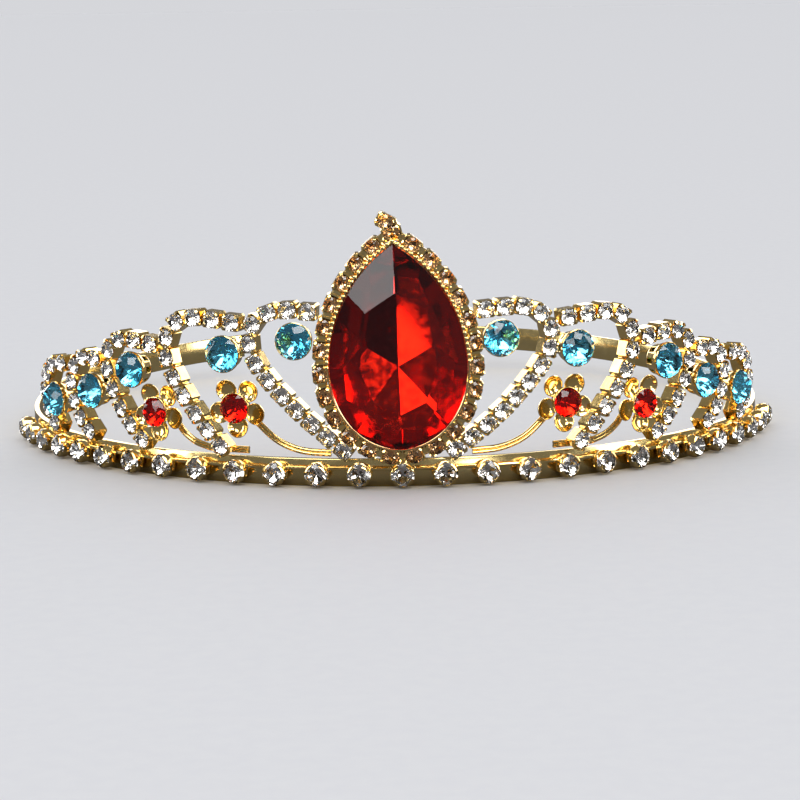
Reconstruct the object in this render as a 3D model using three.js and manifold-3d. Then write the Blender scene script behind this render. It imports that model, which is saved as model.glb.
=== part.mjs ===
// A tiara: a sprung open band with a row of claw-set stones round its front, hooked arches of
// small stones above it, round stones and flowers between the arches, and a pear stone with a
// stone halo at the centre front.
// Millimetres, +Z up. The wearer's face looks along -Y. A place on the crown's front is given
// unrolled: how far along the stone circle it lies from the centre front, and how high it is.
import * as THREE from "three";
import { mergeVertices } from "three/addons/utils/BufferGeometryUtils.js";
import { ConvexGeometry } from "three/addons/geometries/ConvexGeometry.js";
import Module from "manifold-3d";

const wasm = await Module();
wasm.setup();

// Band
const BAND_RADIUS = 63; // outside face
const BAND_THICKNESS = 0.9;
const BAND_HEIGHT = 4.3;
const BAND_GAP = 20; // between its two ends at the back
const BAND_END_RISE = 3.8; // its ends sit this much higher than its front
const BAND_LEVEL_ANGLE = 82; // degrees either side of the front that stay level
const BAND_RISE_CURVE = 1.3;
const BAND_STEPS = 30; // facets in each half turn

// Clearances
const SOLDER_GAP = 0.3; // between soldered pieces
const SEAT_GAP = 0.2; // between a stone and its setting

// Stone circle, on which unrolled places are measured
const STONE_RADIUS = BAND_RADIUS + 2;

// Row of large stones on the band
const ROW_COUNT = 27;
const ROW_PITCH = 6.64;
const ROW_CUP_RADIUS = 1.85;
const ROW_CUP_FOOT = 1.5;
const ROW_CUP_DEPTH = 1.95;
const ROW_CLEARANCE = 0.25; // the cups hang this far above the table
const ROW_STONE_INSET = 0.15; // a stone's edge inside its cup's rim
const ROW_STONE_RADIUS = ROW_CUP_RADIUS - ROW_STONE_INSET;
const ROW_LINK_HEIGHT = 0.6;
const ROW_LINK_DEPTH = 0.7;
const ROW_LINK_ABOVE = 0.9; // links run above the stone centres
const ROW_SIDES = 6;
const ROW_HEIGHT = ROW_CUP_RADIUS + ROW_CLEARANCE;

// The lowest level that is clear of the band and the row, where the rest of the front begins
const FRONT_BASE = Math.max(BAND_HEIGHT, ROW_HEIGHT + ROW_CUP_RADIUS);
const FOOT_CLEARANCE = 0.5; // under the lowest cup of an arch

// Chains of small claw cups
const CHAIN_CUP = 2.5;
const CHAIN_DEPTH = 2.4;
const CHAIN_PITCH = 3.15;
const CHAIN_STONE_INSET = 0.05; // a stone's corners inside its cup's rim
const CHAIN_LINK_WIDTH = 1.1;
const CHAIN_LINK_DEPTH = 1.2;

// Stone proportions, as shares of the girdle radius
const TABLE_SHARE = 0.58;
const CROWN_SHARE = 0.5;
const PAVILION_SHARE = 0.72;
const GIRDLE_HEIGHT = 0.2;
const SINK = 0.1; // a joined stone starts this far down in its cup

// Round blue stones
const BLUE_RADIUS = 2.75;
const BLUE_STANDOFF = 0.5; // cup backs in front of the band's outside face
const ROUND_SIDES = 10;
const CUP_RIM = 0.1; // a round cup is this much wider than its stone, all round
const CUP_FOOT_SHARE = 0.74;
const CUP_FLOOR = 0.4;
const CUP_FLOOR_RADIUS = 0.6;
const CUP_BELOW_STONE = 0.4; // from a stone's point to the floor of its cup
const RIM_WALL = 0.2;

// Flowers with a red stone
const RED_RADIUS = 2.15;
const FLOWER_STANDOFF = 0.7;
const PETAL_COUNT = 5;
const PETAL_RADIUS = 1.4;
const PETAL_SINK = 0.5; // a petal's edge inside the hub's rim
const PETAL_RING = RED_RADIUS + CUP_RIM + PETAL_RADIUS - PETAL_SINK;
const PETAL_FOOT = 0.8;
const PETAL_DEPTH = 0.9;
const PETAL_WALL = 0.25;
const PETAL_LIFT = 0.35; // petal backs in front of the hub's foot
const PETAL_SIDES = 6;

// Flower stems
const STEM_RADIUS = 0.42;
const STEM_SEGMENTS = 4; // facets in each half turn
const STEM_STEPS = 14;

// Pear stone, its bezel and its halo
const PEAR_WIDTH = 20.7;
const PEAR_BELLY = 12.2; // from its lowest point to its widest
const PEAR_SHOULDER = 18.7; // from its widest to its tip
const PEAR_CROWN = 2.9;
const PEAR_GIRDLE = 0.5;
const PEAR_PAVILION = 4.2;
const PEAR_TABLE_SHARE = 0.56;
const PEAR_WAIST_SHARE = 0.8; // the crown's middle ring of corners
const PEAR_WAIST_RISE = 0.62;
const PEAR_FACETS = 24;
const PEAR_TABLE_FACETS = 8;
const PEAR_FORWARD = 4.6; // girdle in front of the band's outside face
const PEAR_LEAN = 2; // degrees towards -X
const BEZEL_WALL = 0.3;
const BEZEL_DEPTH = 5.1;
const BEZEL_LEDGE = 2.4; // width of the ledge that closes the back in
const BEZEL_FLOOR = 0.5;
const BEZEL_RIM = 0.1; // above the girdle's lower edge
const HALO_CUP_LENGTH = 2.7; // along the halo
const HALO_CUP_WIDTH = 1.8; // across it
const HALO_DEPTH = 2.4;
const HALO_PITCH = 3.6;
const HALO_LINK_WIDTH = 0.9;
const HALO_LINK_DEPTH = 1.2;
const HALO_BELOW_GIRDLE = 0.4;
const HALO_TIP_SINK = 0.2; // one more cup stands above the tip's, this far down into it
const HALO_TIP_SIDE = -0.8; // and this far to its side
const HALO_TIP_TURN = -30; // and turned by this many degrees
const OUTLINE_STEPS = 9; // facets in each arc of the outline

// Places on the right half; the left half mirrors them. They are [along, height] in modules,
// along from the pear's side and up from the front's base, so the layout spreads with the
// widest of the pieces that it spaces.
const BLUE_MODULES = 1.1; // a blue stone's radius
const FLOWER_MODULES = 1.82; // a flower's radius
const MODULE = Math.max(
  CHAIN_CUP,
  BLUE_RADIUS / BLUE_MODULES,
  (PETAL_RING + PETAL_RADIUS) / FLOWER_MODULES,
);
const ARCH_FEET = [7.3, 13.14, 18.1, 22.38]; // along only, from the second arch on
const ARCH_ROUTES = [
  [[1.28, 2.24], [3.1, 3.92], [4.74, 5.84], [5.26, 7.24], [4.86, 8.48], [3.46, 9.2]],
  [[8.86, 2.48], [10.38, 4.52], [11.06, 6.04], [11.06, 7.16], [10.26, 8.28], [8.9, 8.6], [6.38, 8.4]],
  [[14.54, 2.04], [15.62, 3.68], [16.1, 5.08], [15.86, 6.28], [14.78, 6.92], [12.34, 6.76]],
  [[19.22, 1.72], [19.9, 3.08], [19.86, 4.36], [18.9, 5.32], [17.38, 5.44]],
  [[23.34, 1.56], [23.74, 2.68], [23.42, 3.84], [22.42, 4.56], [21.26, 4.72]],
];
const FIRST_ARCH_END = 9.16; // heights, in modules, where the pieces beside the halo meet it
const FIRST_BLUE = 7.4;
const BLUE_PLACES = [
  [6.86, 6.48],
  [13.78, 5.08],
  [17.46, 3.4],
  [21.73, 2.36],
];
const FLOWER_PLACES = [
  [6.18, 3.16],
  [11.92, 2.56],
];
const STEM_ROUTES = [
  [[4.94, 1.96], [3.78, 1.04], [2.22, 0.48], [0.34, 0.36]],
  [[10.62, 1.32], [9.7, 0.72], [8.58, 0.4]],
];

const GOLD = { color: 0xd8a23c, roughness: 0.22, metalness: 1 };
const RED_GLASS = { color: 0xb3060a, roughness: 0.03, metalness: 0 };
const BLUE_GLASS = { color: 0x2fa6c9, roughness: 0.03, metalness: 0 };

// Solids

// A closed geometry as a solid that can be joined and cut.
function solid(geometry) {
  const bare = geometry.clone();
  bare.deleteAttribute("normal");
  bare.deleteAttribute("uv");
  const merged = mergeVertices(bare);
  return new wasm.Manifold(
    new wasm.Mesh({
      numProp: 3,
      vertProperties: merged.attributes.position.array,
      triVerts: new Uint32Array(merged.index.array),
    }),
  );
}

function joined(geometries) {
  return geometries.map(solid).reduce((whole, next) => whole.add(next));
}

function geometryOf(manifold) {
  const { vertProperties, triVerts } = manifold.getMesh();
  return new THREE.BufferGeometry()
    .setAttribute("position", new THREE.BufferAttribute(vertProperties, 3))
    .setIndex(new THREE.BufferAttribute(triVerts, 1));
}

function piece(name, geometry, look) {
  const mesh = new THREE.Mesh(geometry, new THREE.MeshStandardMaterial(look));
  mesh.name = name;
  return mesh;
}

// A frame on the front of the crown: its x runs along the circle, its y up, its z outwards.
function frameAt(along, height, radius, turn = 0) {
  const angle = along / STONE_RADIUS;
  const outwards = new THREE.Vector3(Math.sin(angle), -Math.cos(angle), 0);
  const sideways = new THREE.Vector3(Math.cos(angle), Math.sin(angle), 0);
  const place = outwards.clone().multiplyScalar(radius).setZ(height);
  return new THREE.Matrix4()
    .makeBasis(sideways, new THREE.Vector3(0, 0, 1), outwards)
    .setPosition(place)
    .multiply(new THREE.Matrix4().makeRotationZ(turn));
}

// Turned pieces stand on z, and have their rim or girdle at z = 0.
function turned(profile, sides) {
  const points = profile.map(([radius, z]) => new THREE.Vector2(radius, z));
  return new THREE.LatheGeometry(points, sides).rotateX(Math.PI / 2);
}

// The upper part of a stone that is joined to its cup.
function stoneTop(radius, sides) {
  const crown = radius * CROWN_SHARE;
  return new THREE.CylinderGeometry(radius * TABLE_SHARE, radius, crown + SINK, sides)
    .rotateX(Math.PI / 2)
    .translate(0, 0, (crown - SINK) / 2);
}

function pavilionOf(radius) {
  return radius * PAVILION_SHARE;
}

// A whole round stone above the rim of its own cup.
function roundStone(radius) {
  const girdle = SEAT_GAP + GIRDLE_HEIGHT;
  return turned(
    [
      [0, SEAT_GAP - pavilionOf(radius)],
      [radius, SEAT_GAP],
      [radius, girdle],
      [radius * TABLE_SHARE, girdle + radius * CROWN_SHARE],
      [0, girdle + radius * CROWN_SHARE],
    ],
    ROUND_SIDES,
  );
}

function roundCupDepth(stoneRadius) {
  return pavilionOf(stoneRadius) - SEAT_GAP + CUP_BELOW_STONE + CUP_FLOOR;
}

// A round cup with a hollow for the lower part of its stone.
function roundCup(stoneRadius) {
  const rim = stoneRadius + CUP_RIM;
  const depth = roundCupDepth(stoneRadius);
  const floor = CUP_FLOOR - depth;
  return turned(
    [
      [0, -depth],
      [rim * CUP_FOOT_SHARE, -depth],
      [rim, 0],
      [rim - RIM_WALL, 0],
      [CUP_FLOOR_RADIUS, floor],
      [0, floor],
    ],
    ROUND_SIDES,
  );
}

// Band

function bandRise(angle) {
  const level = Math.cos(THREE.MathUtils.degToRad(BAND_LEVEL_ANGLE));
  const end = Math.cos(Math.PI - Math.asin(BAND_GAP / 2 / BAND_RADIUS));
  const share = Math.max(0, (level - Math.cos(angle)) / (level - end));
  return BAND_END_RISE * share ** BAND_RISE_CURVE;
}

function headband() {
  const reach = Math.PI - Math.asin(BAND_GAP / 2 / BAND_RADIUS);
  const front = -Math.PI / 2;
  const outline = new THREE.Shape()
    .absarc(0, 0, BAND_RADIUS, front - reach, front + reach, false)
    .absarc(0, 0, BAND_RADIUS - BAND_THICKNESS, front + reach, front - reach, true);
  const geometry = new THREE.ExtrudeGeometry(outline, {
    depth: BAND_HEIGHT,
    bevelEnabled: false,
    curveSegments: BAND_STEPS,
  });
  const places = geometry.attributes.position;
  for (let i = 0; i < places.count; i += 1) {
    const angle = Math.atan2(places.getX(i), -places.getY(i));
    places.setZ(i, places.getZ(i) + bandRise(angle));
  }
  return piece("headband", geometry, GOLD);
}

// Row of large stones

function rowCup() {
  const cup = new THREE.CylinderGeometry(ROW_CUP_RADIUS, ROW_CUP_FOOT, ROW_CUP_DEPTH, ROW_SIDES)
    .rotateX(Math.PI / 2)
    .translate(0, 0, -ROW_CUP_DEPTH / 2);
  return solid(cup).add(solid(stoneTop(ROW_STONE_RADIUS, ROW_SIDES)));
}

function baseRow() {
  const rim = BAND_RADIUS + SOLDER_GAP + ROW_CUP_DEPTH;
  const linkRadius = rim - ROW_CUP_DEPTH / 2;
  const cup = rowCup();
  const link = solid(new THREE.BoxGeometry(ROW_PITCH, ROW_LINK_HEIGHT, ROW_LINK_DEPTH));
  const last = (ROW_COUNT - 1) / 2;
  const cups = [];
  const links = [];
  for (let i = -last; i <= last; i += 1) {
    const place = frameAt(i * ROW_PITCH, ROW_HEIGHT, rim);
    cups.push(cup.transform(place.elements));
    if (i < last) {
      const between = frameAt((i + 0.5) * ROW_PITCH, ROW_HEIGHT + ROW_LINK_ABOVE, linkRadius);
      links.push(link.transform(between.elements));
    }
  }
  const row = [...cups, ...links].reduce((whole, next) => whole.add(next));
  return piece("base_row", geometryOf(row), GOLD);
}

// Chains

// A claw cup with its stone, its rim at z = 0; its length runs along x.
function clawCup(length, width, depth) {
  const cup = new THREE.BoxGeometry(length, width, depth).translate(0, 0, -depth / 2);
  const stone = stoneTop(width / 2 - CHAIN_STONE_INSET, 4)
    .rotateZ(Math.PI / 4)
    .scale(length / width, 1, 1);
  return solid(cup).add(solid(stone));
}

// Cups at every place of a chain, with links between neighbours. Each place is a matrix whose
// x runs along the chain.
function chainOf(places, cup, linkWidth, linkDepth, cupDepth, isRing) {
  let chain = places.map((place) => cup.transform(place.elements)).reduce((a, b) => a.add(b));
  const pairs = places.length - (isRing ? 0 : 1);
  for (let i = 0; i < pairs; i += 1) {
    const start = new THREE.Vector3().setFromMatrixPosition(places[i]);
    const end = new THREE.Vector3().setFromMatrixPosition(places[(i + 1) % places.length]);
    const along = end.clone().sub(start);
    const outwards = new THREE.Vector3().setFromMatrixColumn(places[i], 2);
    const across = outwards.clone().cross(along).normalize();
    const facing = along.clone().cross(across).normalize();
    const middle = start
      .add(end)
      .divideScalar(2)
      .addScaledVector(facing, linkDepth / 2 - cupDepth);
    const place = new THREE.Matrix4()
      .makeBasis(along.clone().normalize(), across, facing)
      .setPosition(middle);
    const link = solid(new THREE.BoxGeometry(along.length(), linkWidth, linkDepth));
    chain = chain.add(link.transform(place.elements));
  }
  return chain;
}

// Evenly spaced places along an unrolled route.
function placesAlong(route, radius) {
  const curve = new THREE.CatmullRomCurve3(
    route.map(([along, height]) => new THREE.Vector3(along, height, 0)),
    false,
    "centripetal",
  );
  const steps = Math.round(curve.getLength() / CHAIN_PITCH);
  return Array.from({ length: steps + 1 }, (_, i) => {
    const point = curve.getPointAt(i / steps);
    const tangent = curve.getTangentAt(i / steps);
    return frameAt(point.x, point.y, radius, Math.atan2(tangent.y, tangent.x));
  });
}

function arch(name, route) {
  const rim = BAND_RADIUS + SOLDER_GAP + CHAIN_DEPTH;
  const cup = clawCup(CHAIN_CUP, CHAIN_CUP, CHAIN_DEPTH);
  const places = placesAlong(route, rim);
  const chain = chainOf(places, cup, CHAIN_LINK_WIDTH, CHAIN_LINK_DEPTH, CHAIN_DEPTH, false);
  return piece(name, geometryOf(chain), GOLD);
}

// Pear stone and what holds it, in a frame with its lowest point at the origin, y towards its
// tip and z outwards from its girdle

const BEZEL_INNER = SEAT_GAP / 2; // outside the stone's girdle
const BEZEL_OUTER = BEZEL_INNER + BEZEL_WALL;
const HALO_INNER = BEZEL_OUTER + SOLDER_GAP / 2;
const HALO_MIDDLE = HALO_INNER + HALO_CUP_WIDTH / 2;
const HALO_OUTER = HALO_INNER + HALO_CUP_WIDTH;
const PEAR_BOTTOM = FRONT_BASE + HALO_OUTER + SEAT_GAP / 2;

// The pear's sides are arcs whose centres lie level with its widest place.
function sideArc(offset) {
  const half = PEAR_WIDTH / 2;
  const radius = (half ** 2 + PEAR_SHOULDER ** 2) / PEAR_WIDTH;
  return { radius: radius + offset, centre: half - radius };
}

// The pear's outline, grown by an offset.
function pearOutline(offset) {
  const { radius, centre } = sideArc(offset);
  const half = PEAR_WIDTH / 2 + offset;
  const tipAngle = Math.acos(-centre / radius);
  return new THREE.Shape()
    .absellipse(0, PEAR_BELLY, half, PEAR_BELLY + offset, Math.PI, 2 * Math.PI, false, 0)
    .absarc(centre, PEAR_BELLY, radius, 0, tipAngle, false)
    .absarc(-centre, PEAR_BELLY, radius, Math.PI - tipAngle, Math.PI, false);
}

// How far out a point lies that is this distance from the halo's outer edge, at a height above
// the pear's lowest point.
function haloReach(height, distance) {
  const offset = HALO_OUTER + distance;
  const above = height - PEAR_BELLY;
  if (above < 0) {
    return (PEAR_WIDTH / 2 + offset) * Math.sqrt(1 - (above / (PEAR_BELLY + offset)) ** 2);
  }
  const { radius, centre } = sideArc(offset);
  return centre + Math.sqrt(radius ** 2 - above ** 2);
}

function ringOfCorners(share, z, count) {
  const middle = new THREE.Vector2(0, PEAR_BELLY);
  return pearOutline(0)
    .getSpacedPoints(count)
    .slice(0, count)
    .map((corner) => corner.sub(middle).multiplyScalar(share).add(middle))
    .map((corner) => new THREE.Vector3(corner.x, corner.y, z));
}

function pearStone() {
  const corners = [
    ...ringOfCorners(PEAR_TABLE_SHARE, PEAR_GIRDLE + PEAR_CROWN, PEAR_TABLE_FACETS),
    ...ringOfCorners(PEAR_WAIST_SHARE, PEAR_GIRDLE + PEAR_CROWN * PEAR_WAIST_RISE, PEAR_TABLE_FACETS),
    ...ringOfCorners(1, PEAR_GIRDLE, PEAR_FACETS),
    ...ringOfCorners(1, 0, PEAR_FACETS),
    new THREE.Vector3(0, PEAR_BELLY, -PEAR_PAVILION),
  ];
  return piece("pear_stone", new ConvexGeometry(corners), RED_GLASS);
}

function plate(outline, opening, depth, z) {
  outline.holes.push(opening);
  const settings = { depth, bevelEnabled: false, curveSegments: OUTLINE_STEPS };
  return new THREE.ExtrudeGeometry(outline, settings).translate(0, 0, z);
}

function pearBezel() {
  const back = BEZEL_RIM - BEZEL_DEPTH;
  const wall = plate(pearOutline(BEZEL_OUTER), pearOutline(BEZEL_INNER), BEZEL_DEPTH, back);
  const ledge = plate(pearOutline(BEZEL_OUTER), pearOutline(-BEZEL_LEDGE), BEZEL_FLOOR, back);
  return piece("pear_bezel", geometryOf(joined([wall, ledge])), GOLD);
}

// A ring of cups that starts with one at the pear's tip, and one more cup above that.
function pearHalo() {
  const outline = pearOutline(HALO_MIDDLE);
  const { radius, centre } = sideArc(HALO_MIDDLE);
  const tipShare = 1 - (radius * Math.acos(-centre / radius)) / outline.getLength();
  const count = Math.round(outline.getLength() / HALO_PITCH);
  const cup = clawCup(HALO_CUP_LENGTH, HALO_CUP_WIDTH, HALO_DEPTH);
  const places = Array.from({ length: count }, (_, i) => {
    const share = (tipShare + i / count) % 1;
    const point = outline.getPointAt(share);
    const tangent = outline.getTangentAt(share);
    return new THREE.Matrix4()
      .makeRotationZ(Math.atan2(tangent.y, tangent.x))
      .setPosition(point.x, point.y, -HALO_BELOW_GIRDLE);
  });
  const ring = chainOf(places, cup, HALO_LINK_WIDTH, HALO_LINK_DEPTH, HALO_DEPTH, true);
  const tip = PEAR_BELLY + Math.sqrt(radius ** 2 - centre ** 2);
  const tipPlace = new THREE.Matrix4()
    .makeRotationZ(THREE.MathUtils.degToRad(HALO_TIP_TURN))
    .setPosition(HALO_TIP_SIDE, tip + HALO_CUP_WIDTH - HALO_TIP_SINK, -HALO_BELOW_GIRDLE);
  const halo = ring.add(cup.transform(tipPlace.elements));
  return piece("pear_halo", geometryOf(halo), GOLD);
}

function pearGroup() {
  const group = new THREE.Group();
  group.add(pearStone(), pearBezel(), pearHalo());
  group.position.set(0, -BAND_RADIUS - PEAR_FORWARD, PEAR_BOTTOM);
  group.rotation.set(Math.PI / 2, 0, THREE.MathUtils.degToRad(PEAR_LEAN), "XYZ");
  return group;
}

// How far along a piece lies whose centre is this distance off the leaning halo's edge.
function besideHalo(side, distance, height) {
  const lean = side * THREE.MathUtils.degToRad(PEAR_LEAN);
  const above = height - PEAR_BOTTOM;
  const level = above - haloReach(above, distance) * Math.sin(lean);
  return haloReach(level, distance) * Math.cos(lean) - level * Math.sin(lean);
}

// Round stones and flowers

function alongOf(modules) {
  return PEAR_WIDTH / 2 + modules * MODULE;
}

function heightOf(modules) {
  return FRONT_BASE + modules * MODULE;
}

function placed(mesh, along, height, radius) {
  mesh.applyMatrix4(frameAt(along, height, radius));
  return mesh;
}

function blueStone(suffix, along, height) {
  const radius = BAND_RADIUS + BLUE_STANDOFF + roundCupDepth(BLUE_RADIUS);
  const cup = piece("blue_cup_" + suffix, roundCup(BLUE_RADIUS), GOLD);
  const stone = piece("blue_stone_" + suffix, roundStone(BLUE_RADIUS), BLUE_GLASS);
  return [cup, stone].map((mesh) => placed(mesh, along, height, radius));
}

function flowerGeometry() {
  const foot = -roundCupDepth(RED_RADIUS);
  const petal = solid(
    turned(
      [
        [0, 0],
        [PETAL_FOOT, 0],
        [PETAL_RADIUS, PETAL_DEPTH],
        [PETAL_RADIUS - PETAL_WALL, PETAL_DEPTH],
        [PETAL_FOOT - PETAL_WALL / 2, PETAL_WALL],
        [0, PETAL_WALL],
      ],
      PETAL_SIDES,
    ).translate(0, -PETAL_RING, foot + PETAL_LIFT),
  );
  let flower = solid(roundCup(RED_RADIUS));
  for (let i = 0; i < PETAL_COUNT; i += 1) {
    const turn = new THREE.Matrix4().makeRotationZ((2 * Math.PI * i) / PETAL_COUNT);
    flower = flower.add(petal.transform(turn.elements));
  }
  return geometryOf(flower);
}

function flower(suffix, along, height) {
  const radius = BAND_RADIUS + FLOWER_STANDOFF + roundCupDepth(RED_RADIUS);
  const petals = piece("flower_" + suffix, flowerGeometry(), GOLD);
  const stone = piece("red_stone_" + suffix, roundStone(RED_RADIUS), RED_GLASS);
  return [petals, stone].map((mesh) => placed(mesh, along, height, radius));
}

// A wire from behind a flower down to the foot of the next arch towards the pear.
function stem(suffix, route) {
  const radius = BAND_RADIUS + FLOWER_STANDOFF - SOLDER_GAP - STEM_RADIUS;
  const points = route.map(([along, height]) =>
    new THREE.Vector3().setFromMatrixPosition(frameAt(along, height, radius)),
  );
  const section = new THREE.Shape().absarc(0, 0, STEM_RADIUS, 0, 2 * Math.PI, false);
  const geometry = new THREE.ExtrudeGeometry(section, {
    steps: STEM_STEPS,
    curveSegments: STEM_SEGMENTS,
    extrudePath: new THREE.CatmullRomCurve3(points, false, "centripetal"),
  });
  return piece("stem_" + suffix, geometry, GOLD);
}

// Everything on one side of the pear; side is 1 on the right and -1 on the left.
function half(label, side) {
  const place = ([along, height]) => [side * alongOf(along), heightOf(height)];
  const beside = (distance, height) => [side * besideHalo(side, distance, height), height];
  const group = new THREE.Group();
  const footHeight = FRONT_BASE + FOOT_CLEARANCE + CHAIN_CUP / 2;
  const firstFoot = beside(SOLDER_GAP + CHAIN_CUP / 2, footHeight);
  const firstEnd = beside(SOLDER_GAP + CHAIN_CUP * Math.SQRT1_2, heightOf(FIRST_ARCH_END));
  const feet = [firstFoot, ...ARCH_FEET.map((along) => [side * alongOf(along), footHeight])];
  ARCH_ROUTES.forEach((modules, i) => {
    const route = [feet[i], ...modules.map(place), ...(i === 0 ? [firstEnd] : [])];
    group.add(arch("arch_" + label + "_" + (i + 1), route));
  });
  const firstBlue = beside(SOLDER_GAP + BLUE_RADIUS + CUP_RIM, heightOf(FIRST_BLUE));
  [firstBlue, ...BLUE_PLACES.map(place)].forEach(([along, height], i) => {
    group.add(...blueStone(label + "_" + (i + 1), along, height));
  });
  FLOWER_PLACES.map(place).forEach(([along, height], i) => {
    const suffix = label + "_" + (i + 1);
    group.add(...flower(suffix, along, height));
    group.add(stem(suffix, [[along, height], ...STEM_ROUTES[i].map(place)]));
  });
  return group;
}

const crown = new THREE.Group();
crown.add(headband(), baseRow(), pearGroup(), half("right", 1), half("left", -1));

// The origin is the middle of the footprint, on the surface that the band stands on.
const footprint = new THREE.Box3().setFromObject(crown, true);
crown.position.y = -(footprint.min.y + footprint.max.y) / 2;

export default crown;
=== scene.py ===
"""The finished look of a gold tiara set with crystals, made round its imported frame.

Pieces are shaped on a bench at the origin, in millimetres, with z towards whoever looks at the
stone, and are then set into the seats that the frame's own solids give.
"""
import math
import random

import bmesh
import bpy
from bpy.props import FloatProperty, FloatVectorProperty, PointerProperty
from mathutils import Matrix, Vector


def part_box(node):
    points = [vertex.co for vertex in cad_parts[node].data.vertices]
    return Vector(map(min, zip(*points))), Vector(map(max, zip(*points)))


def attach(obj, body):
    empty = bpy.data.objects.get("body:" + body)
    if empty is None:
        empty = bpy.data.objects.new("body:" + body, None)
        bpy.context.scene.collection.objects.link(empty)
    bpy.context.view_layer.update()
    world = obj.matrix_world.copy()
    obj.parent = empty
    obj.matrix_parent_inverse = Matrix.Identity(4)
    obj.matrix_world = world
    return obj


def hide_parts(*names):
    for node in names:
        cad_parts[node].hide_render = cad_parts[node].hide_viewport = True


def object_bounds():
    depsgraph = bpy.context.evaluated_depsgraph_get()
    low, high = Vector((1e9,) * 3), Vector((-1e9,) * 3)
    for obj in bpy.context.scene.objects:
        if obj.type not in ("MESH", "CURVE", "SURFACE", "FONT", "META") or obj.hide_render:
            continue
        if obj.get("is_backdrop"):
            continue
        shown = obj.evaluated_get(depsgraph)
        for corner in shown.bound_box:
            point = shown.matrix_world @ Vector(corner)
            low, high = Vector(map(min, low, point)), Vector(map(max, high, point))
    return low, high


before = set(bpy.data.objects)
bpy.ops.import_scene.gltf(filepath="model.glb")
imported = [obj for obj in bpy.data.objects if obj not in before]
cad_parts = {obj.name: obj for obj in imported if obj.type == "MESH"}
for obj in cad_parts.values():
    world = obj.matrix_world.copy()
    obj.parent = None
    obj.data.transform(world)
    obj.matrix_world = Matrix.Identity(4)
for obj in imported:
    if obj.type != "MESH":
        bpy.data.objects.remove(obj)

bl_info = {
    "name": "Tiara Maker",
    "version": (1, 0, 0),
    "blender": (4, 5, 0),
    "location": "View3D > Sidebar > Tiara",
    "description": "Makes a gold tiara's stones, settings and band round its frame",
    "category": "Object",
}

CAD_BOX = [list(corner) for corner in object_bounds()]
BODY = "root"
BENCH = 1000.0  # bench millimetres in a metre
TO_METRES = Matrix.Scale(1 / BENCH, 4)

SIDES = ("right", "left")
ARCHES = range(1, 6)
BLUES = range(1, 6)
FLOWERS = range(1, 3)

UP = Vector((0, 0, 1))
FRONT = Vector((0, -1, 0))
FACE, EDGE, CORNER = "FACE", "EDGE", "VERT"

# How far the frame's stone tops stand above the rims of their cups, in millimetres.
ROW_TOP, CHAIN_TOP, HALO_TOP, BLUE_TOP, RED_TOP = 0.85, 0.6, 0.425, 1.775, 1.475

# How deep a round stone is below its girdle, as a share of its radius.
DEEP_CUT, SHALLOW_CUT = 0.72, 0.7

# A square cup: the dip of its rim, its foot's bevel, and the rise and share of each claw step.
CUP_DIP, CUP_FOOT = 0.24, 0.16
CLAW_STEPS = ((0.26, 0.95), (0.17, 0.83), (0.04, 0.84))
LINK_BACK = -1.75  # how far behind their rims square cups are linked

# A petal's dishing: insets, and how far each one sinks.
SPOON = ((0.12, 0.04), (0.14, -0.12), (0.26, -0.24), (0.34, -0.18), (0.36, -0.08))


# The frame's places

BAND_LOW, BAND_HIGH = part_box("headband")
RING_RADIUS = (BAND_HIGH[0] - BAND_LOW[0]) / 2
RING_CENTRE = Vector((0, BAND_LOW[1] + RING_RADIUS, 0))


def outward(point):
    """The level direction from the ring's axis to a point."""
    away = Vector(point) - RING_CENTRE
    away.z = 0
    return away.normalized()


def way_round(point):
    """How far round the ring a point is, from the middle of its front."""
    return math.atan2(point.x - RING_CENTRE.x, RING_CENTRE.y - point.y)


def across_and_up(out):
    """The level and the upright direction of a surface that faces out."""
    sideways = UP.cross(out).normalized()
    return sideways, out.cross(sideways)


def turned_to(x, y, z):
    """The turn that carries the bench's axes to three directions."""
    return Matrix((x, y, z)).transposed().to_4x4()


def sunk(top, depth):
    """The rim under a stone's top, in the middle of its cup."""
    return top[0] - top[1] * (depth / BENCH)


def both_sides(numbers):
    """The names of like pieces: right_1, right_2 and so on, then the left ones."""
    return ["%s_%d" % (side, number) for side in SIDES for number in numbers]


def touching(one, other):
    """Whether two flat triangles share a corner and a direction."""
    if one[2].dot(other[2]) < 0.9995:
        return False
    return any((a - b).length < 2e-6 for a in one[3] for b in other[3])


def stone_tops(node, facing=None):
    """The flat tops of a node's stones: (middle, outward direction, corners) each."""
    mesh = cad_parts[node].data
    flats = []
    for face in mesh.polygons:
        out = facing or outward(face.center)
        if face.normal.dot(out) > 0.9995:
            corners = [mesh.vertices[i].co.copy() for i in face.vertices]
            flats.append((face.center.copy(), face.area, face.normal.copy(), corners))

    def height(flat):
        return flat[0].dot(facing) if facing else (flat[0] - RING_CENTRE).dot(outward(flat[0]))

    top = max(height(flat) for flat in flats)
    flats = [flat for flat in flats if top - height(flat) < 0.00015]
    groups = []
    for flat in flats:
        near = [g for g in groups if any(touching(flat, other) for other in g)]
        groups = [g for g in groups if g not in near]
        groups.append([flat] + [f for g in near for f in g])
    tops = []
    for group in groups:
        area = sum(f[1] for f in group)
        middle = sum((f[0] * f[1] for f in group), Vector()) / area
        tops.append((middle, facing or outward(middle), [c for f in group for c in f[3]]))
    return tops


def heading(points, i):
    """The way that a line of points runs at one of them."""
    return points[min(i + 1, len(points) - 1)] - points[max(i - 1, 0)]


def in_line(tops):
    """Stone tops in their order along a chain, from the lowest."""
    rest = sorted(tops, key=lambda top: top[0].z)
    line = [rest.pop(0)]
    while rest:
        nearest = min(rest, key=lambda top: (top[0] - line[-1][0]).length)
        rest.remove(nearest)
        line.append(nearest)
    return line


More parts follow.
